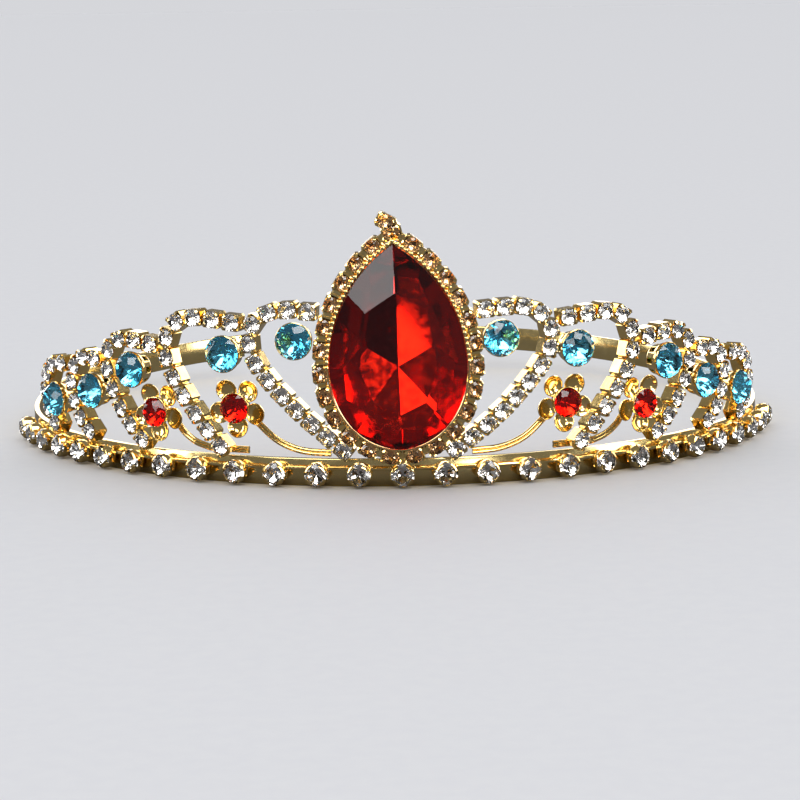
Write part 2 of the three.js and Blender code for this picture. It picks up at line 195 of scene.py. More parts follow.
def seat(middle, out, turn=0.0, lift=0.0):
    """Bench to frame: x runs along the ring, y up, z outwards, with lift in millimetres."""
    turned = turned_to(*across_and_up(out), out)
    place = Matrix.Translation(middle + out * (lift / BENCH))
    return place @ turned @ Matrix.Rotation(turn, 4, "Z") @ TO_METRES


def long_side_turn(top):
    """How far a stone top's longest edge is turned from level."""
    sideways, upright = across_and_up(top[1])
    flat = {(round(c.dot(sideways), 6), round(c.dot(upright), 6)) for c in top[2]}
    flat = [Vector(c) for c in flat]
    centre = sum(flat, Vector((0, 0))) / len(flat)
    flat.sort(key=lambda c: math.atan2(c.y - centre.y, c.x - centre.x))
    edges = [flat[i] - flat[i - 1] for i in range(len(flat))]
    longest = max(edges, key=lambda e: e.length)
    return math.atan2(longest.y, longest.x)


# Bench tools

def clear_selection():
    if bpy.context.object and bpy.context.object.mode != "OBJECT":
        bpy.ops.object.mode_set(mode="OBJECT")
    bpy.ops.object.select_all(action="DESELECT")


def take(*pieces):
    """Selects these pieces alone, and makes the first one active."""
    clear_selection()
    for piece in pieces:
        piece.select_set(True)
    bpy.context.view_layer.objects.active = pieces[0]


def started(name):
    """The active object, such as a primitive just added, under its own name."""
    piece = bpy.context.object
    piece.name = name
    piece.data.name = name
    return piece


def edit(kind=FACE):
    bpy.ops.object.mode_set(mode="EDIT")
    bpy.ops.mesh.select_mode(type=kind)


def done():
    bpy.ops.object.mode_set(mode="OBJECT")


def pick_all():
    bpy.ops.mesh.select_all(action="SELECT")


def pick(kind, test):
    """In edit mode, selects the faces, edges or corners that pass a test, and nothing else."""
    mesh = bpy.context.object.data
    bpy.ops.mesh.select_mode(type=kind)
    bpy.ops.mesh.select_all(action="DESELECT")
    shape = bmesh.from_edit_mesh(mesh)
    shape.normal_update()
    items = {FACE: shape.faces, EDGE: shape.edges, CORNER: shape.verts}[kind]
    for item in items:
        if test(item):
            item.select = True
    shape.select_flush_mode()
    bmesh.update_edit_mesh(mesh)


def at_height(z, within=0.01):
    """A test for edges that lie all along one height."""
    return lambda edge: all(abs(v.co.z - z) < within for v in edge.verts)


def push(move=(0, 0, 0), size=(1, 1, 1)):
    """Extrudes what is selected, then scales it round the bench's middle."""
    bpy.ops.mesh.extrude_region_move(TRANSFORM_OT_translate={"value": move})
    if tuple(size) != (1, 1, 1):
        bpy.ops.transform.resize(value=size, center_override=(0, 0, 0))


def modified(piece, kind, **values):
    """Gives a piece a modifier with these values, and applies it."""
    take(piece)
    modifier = piece.modifiers.new("change", kind)
    for name, value in values.items():
        setattr(modifier, name, value)
    bpy.ops.object.modifier_apply(modifier=modifier.name)


def thicken(piece, wall):
    """Gives an open shell a wall, inside its surface."""
    modified(piece, "SOLIDIFY", thickness=wall, offset=-1.0, use_even_offset=True)


def soften(piece, width, segments=2):
    """Rounds a piece's sharp edges."""
    modified(piece, "BEVEL", width=width, segments=segments, limit_method="ANGLE",
             angle_limit=math.radians(40), use_clamp_overlap=True)


def chamfer(width):
    bpy.ops.mesh.bevel(offset=width, segments=1, affect="EDGES")


def face_outwards(piece):
    take(piece)
    edit()
    pick_all()
    bpy.ops.mesh.remove_doubles(threshold=1e-5)
    bpy.ops.mesh.normals_make_consistent(inside=False)
    done()


def joined(name, pieces):
    take(*pieces)
    if len(pieces) > 1:
        bpy.ops.object.join()
    return started(name)


def copies(template, places):
    """A copy of a bench piece, with its own mesh, at each place."""
    made = []
    for place in places:
        piece = template.copy()
        piece.data = template.data.copy()
        bpy.context.collection.objects.link(piece)
        piece.data.transform(place)
        made.append(piece)
    return made


def put_away(*templates):
    for template in templates:
        mesh = template.data
        bpy.data.objects.remove(template)
        bpy.data.meshes.remove(mesh)


def finished(piece, nodes=(), material=None, smooth=None):
    """Hands a piece over: its shading, materials, body and the solids it stands for."""
    take(piece)
    if smooth is None:
        bpy.ops.object.shade_flat()
    else:
        bpy.ops.object.shade_smooth_by_angle(angle=math.radians(smooth))
    if material:
        piece.data.materials.append(material)
    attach(piece, BODY)
    if nodes:
        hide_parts(*nodes)
    clear_selection()


# Finishes

FOILS = {
    "clear": ((0.99, 0.98, 0.97), (0.95, 0.91, 0.86)),
    "champagne": ((0.98, 0.83, 0.62), (0.86, 0.60, 0.38)),
    "aqua": ((0.62, 0.92, 0.98), (0.34, 0.76, 0.90)),
    "red": ((1.0, 0.30, 0.10), (0.92, 0.12, 0.05)),
}
DULL = {"ior": 1.46, "gloss": 0.15}  # red glass shows less of the room than clear glass


def finish(name, tone, fill):
    """The material of a name, which is made and filled the first time."""
    if name not in bpy.data.materials:
        material = bpy.data.materials.new(name)
        material.use_nodes = True
        material.diffuse_color = (*tone, 1)
        tree = material.node_tree
        fill(tree.nodes, tree.links, tree.nodes["Principled BSDF"])
    return bpy.data.materials[name]


def noise(nodes, links, scale, detail=3.0, rough=0.5):
    """A noise pattern on the piece's own coordinates."""
    place = nodes.new("ShaderNodeTexCoord")
    pattern = nodes.new("ShaderNodeTexNoise")
    pattern.inputs["Scale"].default_value = scale
    pattern.inputs["Detail"].default_value = detail
    pattern.inputs["Roughness"].default_value = rough
    links.new(place.outputs["Object"], pattern.inputs["Vector"])
    return pattern


def spread(nodes, links, source, low, high, start=0.35, end=0.65):
    """A pattern's values spread between a low and a high one."""
    ranged = nodes.new("ShaderNodeMapRange")
    ranged.inputs["From Min"].default_value = start
    ranged.inputs["From Max"].default_value = end
    ranged.inputs["To Min"].default_value = low
    ranged.inputs["To Max"].default_value = high
    links.new(source, ranged.inputs["Value"])
    return ranged.outputs["Result"]


def two_tone(nodes, links, source, first, second):
    """A pattern's values turned into colours between two tones."""
    ramp = nodes.new("ShaderNodeValToRGB")
    for stop, position, tone in zip(ramp.color_ramp.elements, (0.35, 0.65), (first, second)):
        stop.position = position
        stop.color = (*tone, 1)
    links.new(source, ramp.inputs["Fac"])
    return ramp.outputs["Color"]


def gold(name, colour, shade, low, high, grain=1200, bump=0.02):
    """Plated gold: cloudy polish, faint casting grain and a little warmth in patches."""

    def fill(nodes, links, shader):
        cloud = noise(nodes, links, grain * 0.25, 4).outputs["Fac"]
        fine = noise(nodes, links, grain * 2, 5, 0.6).outputs["Fac"]
        links.new(two_tone(nodes, links, cloud, shade, colour), shader.inputs["Base Color"])
        links.new(spread(nodes, links, fine, low, high), shader.inputs["Roughness"])
        relief = nodes.new("ShaderNodeBump")
        relief.inputs["Strength"].default_value = bump
        relief.inputs["Distance"].default_value = 0.00005
        links.new(fine, relief.inputs["Height"])
        links.new(relief.outputs["Normal"], shader.inputs["Normal"])
        shader.inputs["Metallic"].default_value = 1.0

    return finish(name, colour, fill)


def crystal(name, tint, deep, ior=1.55, gloss=0.5):
    """Cut glass: clear, with a faint change of tint and the odd polishing haze."""

    def fill(nodes, links, shader):
        cloud = noise(nodes, links, 260, 2).outputs["Fac"]
        haze = noise(nodes, links, 90, 1).outputs["Fac"]
        links.new(two_tone(nodes, links, cloud, deep, tint), shader.inputs["Base Color"])
        links.new(spread(nodes, links, haze, 0.004, 0.012), shader.inputs["Roughness"])
        shader.inputs["IOR"].default_value = ior
        shader.inputs["Specular IOR Level"].default_value = gloss
        shader.inputs["Transmission Weight"].default_value = 1.0

    return finish(name, tint, fill)


def foil(name, tint, deep):
    """The mirror backing of a crystal's lower facets."""

    def fill(nodes, links, shader):
        cloud = noise(nodes, links, 900, 3).outputs["Fac"]
        links.new(two_tone(nodes, links, cloud, deep, tint), shader.inputs["Base Color"])
        links.new(spread(nodes, links, cloud, 0.04, 0.12), shader.inputs["Roughness"])
        shader.inputs["Metallic"].default_value = 1.0

    return finish(name, tint, fill)


# Stones

GLASS_FACES, FOIL_FACES = 0, 1


def back_with_foil(piece, glass, mirror, below=-0.06):
    """Glass in front, foil on every facet that faces back."""
    piece.data.materials.clear()
    piece.data.materials.append(glass)
    piece.data.materials.append(mirror)
    for face in piece.data.polygons:
        face.material_index = FOIL_FACES if face.normal.z < below else GLASS_FACES


def brilliant(name, radius, crown, pavilion, glass, mirror, girdle=0.12, table=0.56, sides=8):
    """A round stone: table, kites, stars and halves above its girdle, a cone of facets below."""
    clear_selection()
    half = math.pi / sides
    waist = 0.79
    drop = (1 - waist * math.cos(half)) / (1 - table)
    lower = 0.28
    lift = (1 - lower * math.cos(half))
    rings = [
        (table, crown, sides, 0.0),
        (waist, crown * drop, sides, half),
        (1.0, 0.0, 2 * sides, 0.0),
        (1.0, -girdle, 2 * sides, 0.0),
        (lower, -girdle - pavilion * lift, sides, half),
        (0.02, -girdle - pavilion * 0.98, sides, 0.0),
    ]
    for i, (share, z, count, turn) in enumerate(rings):
        bpy.ops.mesh.primitive_circle_add(
            vertices=count, radius=radius * share, location=(0, 0, z), rotation=(0, 0, turn)
        )
        if i == 0:
            piece = started(name)
            edit(CORNER)
    pick_all()
    bpy.ops.mesh.convex_hull(join_triangles=False)
    pick_all()
    bpy.ops.mesh.dissolve_limited(angle_limit=math.radians(1.2))
    done()
    # Circles added in the object's place carry their turn in the object: it goes into the mesh.
    bpy.ops.object.transform_apply(location=True, rotation=True, scale=True)
    face_outwards(piece)
    back_with_foil(piece, glass, mirror)
    return piece


# Settings

def block(name, *size):
    """A block of three sizes, open for editing."""
    clear_selection()
    bpy.ops.mesh.primitive_cube_add(size=1)
    piece = started(name)
    edit()
    pick_all()
    bpy.ops.transform.resize(value=size)
    return piece


def claw_cup(name, length, width, depth, claw, wall=0.2):
    """A square cup with polished plates for sides and a claw bent in over each corner."""
    piece = block(name, length, width, depth)
    bpy.ops.transform.translate(value=(0, 0, -depth / 2))
    pick(EDGE, lambda e: abs(e.verts[0].co.z - e.verts[1].co.z) > depth / 2)
    chamfer(claw)
    pick(FACE, lambda f: f.normal.z > 0.9)
    bpy.ops.mesh.delete(type="ONLY_FACE")
    # The rim dips between the claws, which rise and bend inwards in three steps.
    pick(EDGE, lambda e: at_height(0)(e) and e.calc_length() > claw * 1.6)
    bpy.ops.mesh.subdivide(number_cuts=2)
    inner_x, inner_y = length / 2 - claw * 1.02, width / 2 - claw * 1.02
    pick(CORNER, lambda v: abs(v.co.z) < 0.01 and (
        (abs(v.co.x) < inner_x * 0.98 and abs(abs(v.co.y) - width / 2) < 0.01)
        or (abs(v.co.y) < inner_y * 0.98 and abs(abs(v.co.x) - length / 2) < 0.01)
    ))
    bpy.ops.transform.translate(value=(0, 0, -CUP_DIP))
    corner = lambda v: abs(v.co.x) > inner_x * 0.98 and abs(v.co.y) > inner_y * 0.98
    pick(EDGE, lambda e: at_height(0)(e) and corner(e.verts[0]) and corner(e.verts[1])
         and e.calc_length() < claw * 1.6)
    for rise, share in CLAW_STEPS:
        push((0, 0, rise), (share, share, 1))
    pick(EDGE, at_height(-depth))
    chamfer(CUP_FOOT)
    done()
    thicken(piece, wall)
    face_outwards(piece)
    return piece


def round_cup(name, profile, sides, posts, claws, wall, window=None, claw_turn=45.0):
    """A round basket: a floor, walls raised ring by ring, windows between posts, and claws.

    The profile is (radius, z) from the foot to the rim. The window is the band of the profile
    that is cut open between posts. Claws are (height, share of radius) steps above the rim.
    """
    clear_selection()
    radius, foot = profile[0]
    bpy.ops.mesh.primitive_circle_add(vertices=sides, radius=radius)
    piece = started(name)
    edit(EDGE)
    pick_all()
    bpy.ops.transform.translate(value=(0, 0, foot))
    pick(EDGE, at_height(foot))
    height = foot
    for next_radius, next_height in profile[1:]:
        share = next_radius / radius
        push((0, 0, next_height - height), (share, share, 1))
        radius, height = next_radius, next_height

    def off_post(point, keep):
        """Whether a point is away from the posts, by its angle."""
        angle = math.degrees(math.atan2(point.y, point.x)) - claw_turn
        pitch = 360 / posts
        return abs((angle + pitch / 2) % pitch - pitch / 2) > keep

    if window is not None:
        low, high = window
        keep = 360 / sides
        pick(FACE, lambda f: low < f.calc_center_median().z < high and abs(f.normal.z) < 0.9
             and off_post(f.calc_center_median(), keep))
        bpy.ops.mesh.delete(type="FACE")
    if claws:
        keep = 360 / sides * 0.62
        rim = profile[-1][1]
        pick(EDGE, lambda e: at_height(rim)(e)
             and not off_post((e.verts[0].co + e.verts[1].co) / 2, keep))
        for rise, share in claws:
            push((0, 0, rise), (share, share, 1))
    pick(EDGE, at_height(foot))
    bpy.ops.mesh.edge_face_add()
    done()
    face_outwards(piece)
    thicken(piece, wall)
    return piece


def bar(name, length, width, depth, rounding):
    """A soldered link: a bar with rounded edges."""
    piece = block(name, length, width, depth)
    pick(EDGE, lambda e: abs(e.verts[0].co.x - e.verts[1].co.x) > length / 2)
    chamfer(rounding)
    done()
    return piece


def bead(name, radius, flat=0.7):
    """A blob of solder, slumped on its back."""
    clear_selection()
    bpy.ops.mesh.primitive_ico_sphere_add(subdivisions=1, radius=radius)
    piece = started(name)
    edit(CORNER)
    pick_all()
    bpy.ops.transform.resize(value=(1, 1, flat), center_override=(0, 0, 0))
    pick(CORNER, lambda v: v.co.z < -radius * flat * 0.5)
    bpy.ops.transform.resize(value=(1.15, 1.15, 1), center_override=(0, 0, 0))
    done()
    return piece


def between(start, end, out, z):
    """A place for a link from one seat to the next, at a height on the bench."""
    along = (end - start).normalized()
    across = out.cross(along).normalized()
    facing = along.cross(across)
    middle = (start + end) / 2 + facing * (z / BENCH)
    return Matrix.Translation(middle) @ turned_to(along, across, facing) @ TO_METRES


def set_chain(name, node, pieces, seats, pairs, depth, lift, shake):
    """Sets square cups and their stones at the seats, and links the pairs of stone tops."""
    cup, link, stone = pieces
    cups, stones = [], []
    for top, turn in seats:
        turn += math.radians(shake.uniform(-2, 2))
        cups.append(seat(sunk(top, depth), top[1], turn))
        stones.append(seat(sunk(top, depth), top[1], turn + shake.uniform(0, 3), lift))
    links = [
        between(sunk(a, depth), sunk(b, depth), (a[1] + b[1]).normalized(), LINK_BACK) for a, b in pairs
    ]
    chain = joined(name + "_chain", copies(cup, cups) + copies(link, links))
    crystals = joined(name + "_crystals", copies(stone, stones))
    finished(chain, [node], claw_gold(), 35)
    finished(crystals)


# Sizes and colours

def length(name, description, millimetres):
    return FloatProperty(
        name=name, description=description, default=millimetres / BENCH, min=0.0,
        unit="LENGTH", subtype="DISTANCE", precision=5,
    )


def colour(name, description, default):
    return FloatVectorProperty(
        name=name, description=description, default=default, size=3, min=0.0, max=1.0,
        subtype="COLOR",
    )


class TiaraSizes(bpy.types.PropertyGroup):
    """Sizes of the settings and stones."""

    band_rounding: length("Band edge", "Rounding of the band's edges", 0.16)
    row_stone: length("Row stone", "Radius of a stone in the row on the band", 1.84)
    row_crown: length("Row stone crown", "Height of a row stone above its girdle", 0.82)
    chain_stone: length("Chain stone", "Radius of a small stone in an arch", 1.33)
    chain_crown: length("Chain stone crown", "Height of a small stone above its girdle", 0.58)
    chain_cup: length("Chain cup", "Side of a small square cup", 2.5)
    chain_depth: length("Chain cup depth", "Depth of a small square cup", 2.4)
    halo_stone: length("Halo stone", "Radius of a stone in the halo", 1.22)
    blue_stone: length("Blue stone", "Radius of a blue stone", 2.78)
    red_stone: length("Red stone", "Radius of a flower's red stone", 2.3)
    petal: length("Petal", "Radius of a flower's petal", 1.7)
    wire: length("Wire", "Radius of one strand of a flower's stem", 0.31)
    pear_width: length("Pear width", "Width of the pear stone", 20.7)
    pear_belly: length("Pear belly", "From the pear's lowest point to its widest", 12.2)
    pear_shoulder: length("Pear shoulder", "From the pear's widest place to its tip", 18.7)
    pear_lean: FloatProperty(
        name="Pear lean", description="How far the pear leans to one side",
        default=math.radians(2), unit="ROTATION", subtype="ANGLE",
    )


class TiaraColours(bpy.types.PropertyGroup):
    """Colours of the gold and the crystals."""

    gold: colour("Gold", "Polished gold of the settings", (1.0, 0.76, 0.33))
    gold_shade: colour("Gold shade", "Warmer patches of the settings", (0.93, 0.64, 0.22))
    band: colour("Band", "Paler gold of the band", (0.84, 0.66, 0.30))
    band_shade: colour("Band shade", "Duller patches of the band", (0.76, 0.57, 0.23))
    clear: colour("Clear", "Clear crystals", (0.99, 0.99, 0.98))
    champagne: colour("Champagne", "Crystals of the halo", (0.99, 0.86, 0.70))
    aqua: colour("Aqua", "Blue crystals", (0.33, 0.80, 0.95))
    red: colour("Red", "Red crystals of the flowers", (0.92, 0.05, 0.03))
    pear_red: colour("Pear red", "The pear stone's deeper red", (0.52, 0.032, 0.018))


def mm(value):
    """A length in metres on the bench."""
    return value * BENCH


def sizes():
    return bpy.context.scene.tiara_sizes


def colours():
    return bpy.context.scene.tiara_colours


def claw_gold():
    return gold("claw gold", colours().gold, colours().gold_shade, 0.07, 0.17)


def wire_gold():
    return gold("wire gold", colours().gold, colours().gold_shade, 0.05, 0.12, 600, 0.005)


def glass(kind, tone, share=0.85, backing=None, **cut):
    """A stone's glass, a little darker in places, and the foil behind it."""
    backing = backing or kind
    deep = [c * share for c in tone]
    return crystal(kind + " crystal", tone, deep, **cut), foil(backing + " foil", *FOILS[backing])


# Pieces

BAND_STEPS = 176  # along the band, from end to end


class TIARA_OT_band(bpy.types.Operator):
    """Make the sprung band, open at the back, with rounded edges and ends that rise"""

    bl_idname = "tiara.band"
    bl_label = "Band"

    def execute(self, context):
        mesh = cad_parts["headband"].data
        rings = {}
        for vertex in mesh.vertices:
            away = (vertex.co - RING_CENTRE).to_2d().length
            rings.setdefault(round(way_round(vertex.co), 3), []).append((away, vertex.co.z))
        ends = max(rings)
        low = {angle: min(z for _, z in points) for angle, points in rings.items()}
        outside = max(r for points in rings.values() for r, _ in points)
        inside = min(r for points in rings.values() for r, _ in points)
        height = max(z for _, z in rings[min(rings, key=abs)]) - low[min(rings, key=abs)]
        known = sorted(low.items())

        def rise(angle):
            for (a, low_a), (b, low_b) in zip(known, known[1:]):
                if a <= angle <= b:
                    return low_a + (low_b - low_a) * (angle - a) / (b - a)
            return known[-1][1] if angle > 0 else known[0][1]

        clear_selection()
        bpy.ops.mesh.primitive_plane_add(size=1)
        piece = started("headband_polished")
        edit(CORNER)
        pick_all()
        bpy.ops.mesh.delete(type="ONLY_FACE")
        pick(CORNER, lambda v: v.co.x < 0)
        bpy.ops.mesh.delete(type="VERT")
        # One upright edge at the left end, spun round the front to the right end.
        pick_all()
        start = Vector((-math.sin(ends), -math.cos(ends)))
        shape = bmesh.from_edit_mesh(piece.data)
        for vertex, z in zip(shape.verts, (0.0, mm(height))):
            vertex.co = (start.x * mm(outside), start.y * mm(outside), z)
        bmesh.update_edit_mesh(piece.data)
        bpy.ops.mesh.spin(steps=BAND_STEPS, angle=2 * ends, center=(0, 0, 0), axis=(0, 0, 1))
        pick_all()
        bpy.ops.mesh.remove_doubles(threshold=1e-4)
        bpy.ops.mesh.normals_make_consistent(inside=False)
        done()
        if sum(f.normal.dot(Vector((f.center.x, f.center.y, 0))) for f in piece.data.polygons) < 0:
            edit()
            pick_all()
            bpy.ops.mesh.flip_normals()
            done()
        for vertex in piece.data.vertices:
            vertex.co.z += mm(rise(math.atan2(vertex.co.x, -vertex.co.y)))
        thicken(piece, mm(outside - inside))
        soften(piece, mm(sizes().band_rounding))
        piece.data.transform(Matrix.Translation(RING_CENTRE) @ TO_METRES)
        polish = gold("band gold", colours().band, colours().band_shade, 0.13, 0.2, 500, 0.02)
        finished(piece, ["headband"], polish, 35)
        return {"FINISHED"}


class TIARA_OT_row(bpy.types.Operator):
    """Make the row of large clear stones in round claw cups along the band"""

    bl_idname = "tiara.row"
    bl_label = "Row on the band"

    def execute(self, context):
        kit = sizes()
        tops = sorted(stone_tops("base_row"), key=lambda top: way_round(top[0]))
        radius = mm(kit.row_stone)
        link_height = UP * (0.9 / BENCH)
        cup = round_cup(
            "row_cup",
            [(1.25, -1.95), (1.62, -1.7), (1.86, -1.15), (1.9, -0.62), (1.87, -0.14)],
            16, 4, [(0.34, 0.98), (0.2, 0.87), (0.05, 0.86)], 0.2, (-1.4, -0.55),
        )
        link = bar("row_link", 3.2, 0.5, 0.7, 0.14)
        blob = bead("row_solder", 0.36)
        stone = brilliant(
            "row_stone", radius, mm(kit.row_crown), radius * DEEP_CUT, *glass("clear", colours().clear, 0.97),
        )
        shake = random.Random(11)
        places, stone_places, links, blobs = [], [], [], []
        for top in tops:
            rim, out = sunk(top, ROW_TOP), top[1]
            turn = math.radians(shake.uniform(-3, 3))
            places.append(seat(rim, out, turn))
            stone_places.append(seat(rim, out, turn + math.radians(shake.uniform(-20, 20)), 0.02))
            for side in (-1, 1):
                spot = rim + across_and_up(out)[0] * (side * 1.86 / BENCH) + link_height
                blobs.append(seat(spot, out, shake.uniform(0, 6), -0.95))
        for a, b in zip(tops, tops[1:]):
            out = (a[1] + b[1]).normalized()
            start, end = (sunk(top, ROW_TOP) + link_height for top in (a, b))
            links.append(between(start, end, out, -0.98))
        row = joined("row_cups", copies(cup, places) + copies(link, links) + copies(blob, blobs[1:-1]))
        stones = joined("row_crystals", copies(stone, stone_places))
        put_away(cup, link, blob, stone)
        finished(row, ["base_row"], claw_gold(), 35)
        finished(stones)
        return {"FINISHED"}


class TIARA_OT_arches(bpy.types.Operator):
    """Make the five arches of small claw-set stones on each side"""

    bl_idname = "tiara.arches"
    bl_label = "Arches"

    def execute(self, context):
        kit = sizes()
        side = mm(kit.chain_cup)
        radius = mm(kit.chain_stone)
        cup = claw_cup("chain_cup", side + 0.35, side + 0.12, mm(kit.chain_depth), 0.3, 0.16)
        link = bar("chain_link", 0.9, 1.3, 1.3, 0.2)
        stone = brilliant(
            "chain_stone", radius, mm(kit.chain_crown), radius * DEEP_CUT,
            *glass("clear", colours().clear, 0.97), girdle=0.08,
        )
        shake = random.Random(5)
        for name in both_sides(ARCHES):
            node = "arch_" + name
            tops = in_line(stone_tops(node))
            places = [top[0] for top in tops]
            seats = []
            for i, top in enumerate(tops):
                course = heading(places, i)
                seats.append((top, math.atan2(course.dot(UP), course.dot(across_and_up(top[1])[0]))))
            set_chain(node, node, (cup, link, stone), seats, zip(tops, tops[1:]),
                      CHAIN_TOP, 0.04, shake)
        put_away(cup, link, stone)
        return {"FINISHED"}


MAIN_FACETS = (46, 123, 197, 248, 292, 345)  # the ways they face, in degrees
RIM_OUT, RIM_FOOT, RIM_TALL = 0.42, -4.9, 5.15  # the rim outside the stone, its floor and its wall


def pear_measures():
    """The pear stone's own frame and sizes, from its solid."""
    kit = sizes()
    points = [v.co.copy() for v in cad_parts["pear_stone"].data.vertices]
    culet = max(points, key=lambda p: p.y)
    up = Matrix.Rotation(-kit.pear_lean, 3, "Y") @ UP
    sideways = up.cross(FRONT).normalized()
    half = kit.pear_width / 2
    girdle = max(p.y for p in points if abs((p - culet).dot(sideways)) > half * 0.9)
    front = min(p.y for p in points)
    origin = Vector((culet.x, girdle, culet.z))
    place = Matrix.Translation(origin) @ turned_to(sideways, up, FRONT) @ TO_METRES
    return {
        "place": place, "half": mm(half), "belly": mm(kit.pear_belly), "shoulder": mm(kit.pear_shoulder),
        "crown": mm(girdle - front), "pavilion": mm(culet.y - girdle),
    }


def pear_line(pear, offset, count):
    """Points evenly round the pear's outline, grown by an offset, from its lowest point.

    The bench's middle is level with the widest place.
    """
    half, belly, shoulder = pear["half"], pear["belly"], pear["shoulder"]
    radius = (half ** 2 + shoulder ** 2) / (2 * half)
    centre = half - radius
    radius += offset
    tip_angle = math.acos(-centre / radius)
    right = []
    for i in range(200):
        angle = math.pi / 2 * (i / 200 - 1)
        right.append(Vector(((half + offset) * math.cos(angle), (belly + offset) * math.sin(angle))))
    for i in range(301):
        angle = tip_angle * i / 300
        right.append(Vector((centre + radius * math.cos(angle), radius * math.sin(angle))))
    left = [Vector((-p.x, p.y)) for p in reversed(right[1:-1])]
    line = right + left + [right[0]]
    lengths = [0.0]
    for a, b in zip(line, line[1:]):
        lengths.append(lengths[-1] + (b - a).length)
    out, at = [], 0
    for i in range(count):
        want = lengths[-1] * i / count
        while lengths[at + 1] < want:
            at += 1
        share = (want - lengths[at]) / (lengths[at + 1] - lengths[at])
        out.append(line[at].lerp(line[at + 1], share))
    return out


def ring_of(name, points, z):
    """A filled outline, from a circle whose corners are moved to the points."""
    clear_selection()
    bpy.ops.mesh.primitive_circle_add(vertices=len(points), radius=1, fill_type="NGON")
    piece = started(name)
    for vertex, point in zip(piece.data.vertices, points):
        vertex.co = (point.x, point.y, z)
    return piece


def widest(outline, degrees):
    """A level direction, and how far an outline reaches in it."""
    angle = math.radians(degrees)
    side = Vector((math.cos(angle), math.sin(angle)))
    return side, max(p.dot(side) for p in outline)


def cut_away(place, side, steep, run):
    """Grinds one flat facet: everything beyond its plane goes, and the cut is closed."""
    pick_all()
    facing = Vector((side.x * steep, side.y * steep, run)).normalized()
    bpy.ops.mesh.bisect(plane_co=place, plane_no=facing, use_fill=True, clear_outer=True)


class TIARA_OT_pear(bpy.types.Operator):
    """Make the pear stone, ground facet by facet, and the gold rim that holds it"""

    bl_idname = "tiara.pear"
    bl_label = "Pear stone"

    def execute(self, context):
        pear = pear_measures()
        outline = pear_line(pear, 0.0, 96)
        half, belly, shoulder = pear["half"], pear["belly"], pear["shoulder"]
        girdle, crown, pavilion = 0.7, pear["crown"], pear["pavilion"]
        stone = ring_of("pear_crystal", outline, -pavilion)
        edit()
        pick_all()
        bpy.ops.mesh.extrude_region_move(TRANSFORM_OT_translate={"value": (0, 0, crown + pavilion)})
        pick_all()
        bpy.ops.mesh.normals_make_consistent(inside=False)
        table = (
            (0, shoulder * 0.63), (half * 0.445, shoulder * 0.48), (half * 0.56, belly * 0.05),
            (half * 0.37, -belly * 0.40), (0, -belly * 0.54),
        )
        for a, b in zip(table, table[1:]):
            for mirror in (1, -1):
                edge_a, edge_b = (Vector((x * mirror, y)) for x, y in (a, b))
                side = Vector((edge_b.y - edge_a.y, edge_a.x - edge_b.x)).normalized()
                if side.dot(edge_a + edge_b) < 0:
                    side = -side
                reach = max(p.dot(side) for p in outline)
                cut_away((*edge_a, crown), side, crown - girdle, reach - edge_a.dot(side))
        # Below, six main facets meet at the point, and sixteen steeper ones run to the girdle.
        for degrees in MAIN_FACETS:
            side, reach = widest(outline, degrees)
            cut_away((0, 0, -pavilion), side, pavilion, -1.12 * reach)
        for i in range(16):
            side, reach = widest(outline, 11.25 + 22.5 * i)
            cut_away((side.x * reach, side.y * reach, 0), side, 1.35 * pavilion, -reach)
        done()
        face_outwards(stone)
        back_with_foil(stone, *glass("pear", colours().pear_red, 0.85, "red", **DULL))
        stone.data.transform(pear["place"])
        bpy.data.collections["lit by the card"].objects.link(stone)

        # The rim's floor is a ledge inside its outline, and its wall rises from the outline.
        rim_line = pear_line(pear, RIM_OUT, 160)
        outer = {tuple(round(c, 3) for c in p) for p in rim_line}
        wall = ring_of("pear_rim", rim_line, RIM_FOOT)
        edit(EDGE)
        pick(FACE, lambda f: True)
        bpy.ops.mesh.inset(thickness=1.6)
        bpy.ops.mesh.delete(type="FACE")
        pick(EDGE, lambda e: all((round(v.co.x, 3), round(v.co.y, 3)) in outer for v in e.verts))
        push((0, 0, RIM_TALL))
        done()
        face_outwards(wall)
        thicken(wall, 0.28)
        soften(wall, 0.07)
        tooth = bead("rim_bead", 0.4, 0.9)
        line = pear_line(pear, 0.38, 96)
        teeth = [Matrix.Translation((p.x, p.y, 0.42)) for p in line if p.y > 0]
        beads = joined("pear_beads", copies(tooth, teeth))
        rim = joined("pear_setting", [wall, beads])
        put_away(tooth)
        rim.data.transform(pear["place"])
        finished(stone, ["pear_stone"])
        finished(rim, ["pear_bezel"], claw_gold(), 40)
        return {"FINISHED"}


class TIARA_OT_halo(bpy.types.Operator):
    """Make the halo of champagne stones in claw cups round the pear stone"""

    bl_idname = "tiara.halo"
    bl_label = "Halo"

    def execute(self, context):
        kit = sizes()
        tops = stone_tops("pear_halo", FRONT)
        highest = max(tops, key=lambda t: t[0].z)
        ring = [t for t in tops if t is not highest]
        middle = pear_measures()["place"].translation
        ring.sort(key=lambda t: math.atan2(t[0].z - middle.z, t[0].x - middle.x))
        radius = mm(kit.halo_stone)
        cup = claw_cup("halo_cup", 3.1, 2.3, 2.4, 0.36)
        link = bar("halo_link", 1.0, 1.5, 1.3, 0.2)
        stone = brilliant(
            "halo_stone", radius, 0.5, radius * SHALLOW_CUT, *glass("champagne", colours().champagne),
            girdle=0.06,
        )
        seats = [(top, long_side_turn(top)) for top in ring + [highest]]
        pairs = [(ring[i - 1], top) for i, top in enumerate(ring)]
        set_chain("halo", "pear_halo", (cup, link, stone), seats, pairs,
                  HALO_TOP, 0.03, random.Random(3))
        put_away(cup, link, stone)
        return {"FINISHED"}


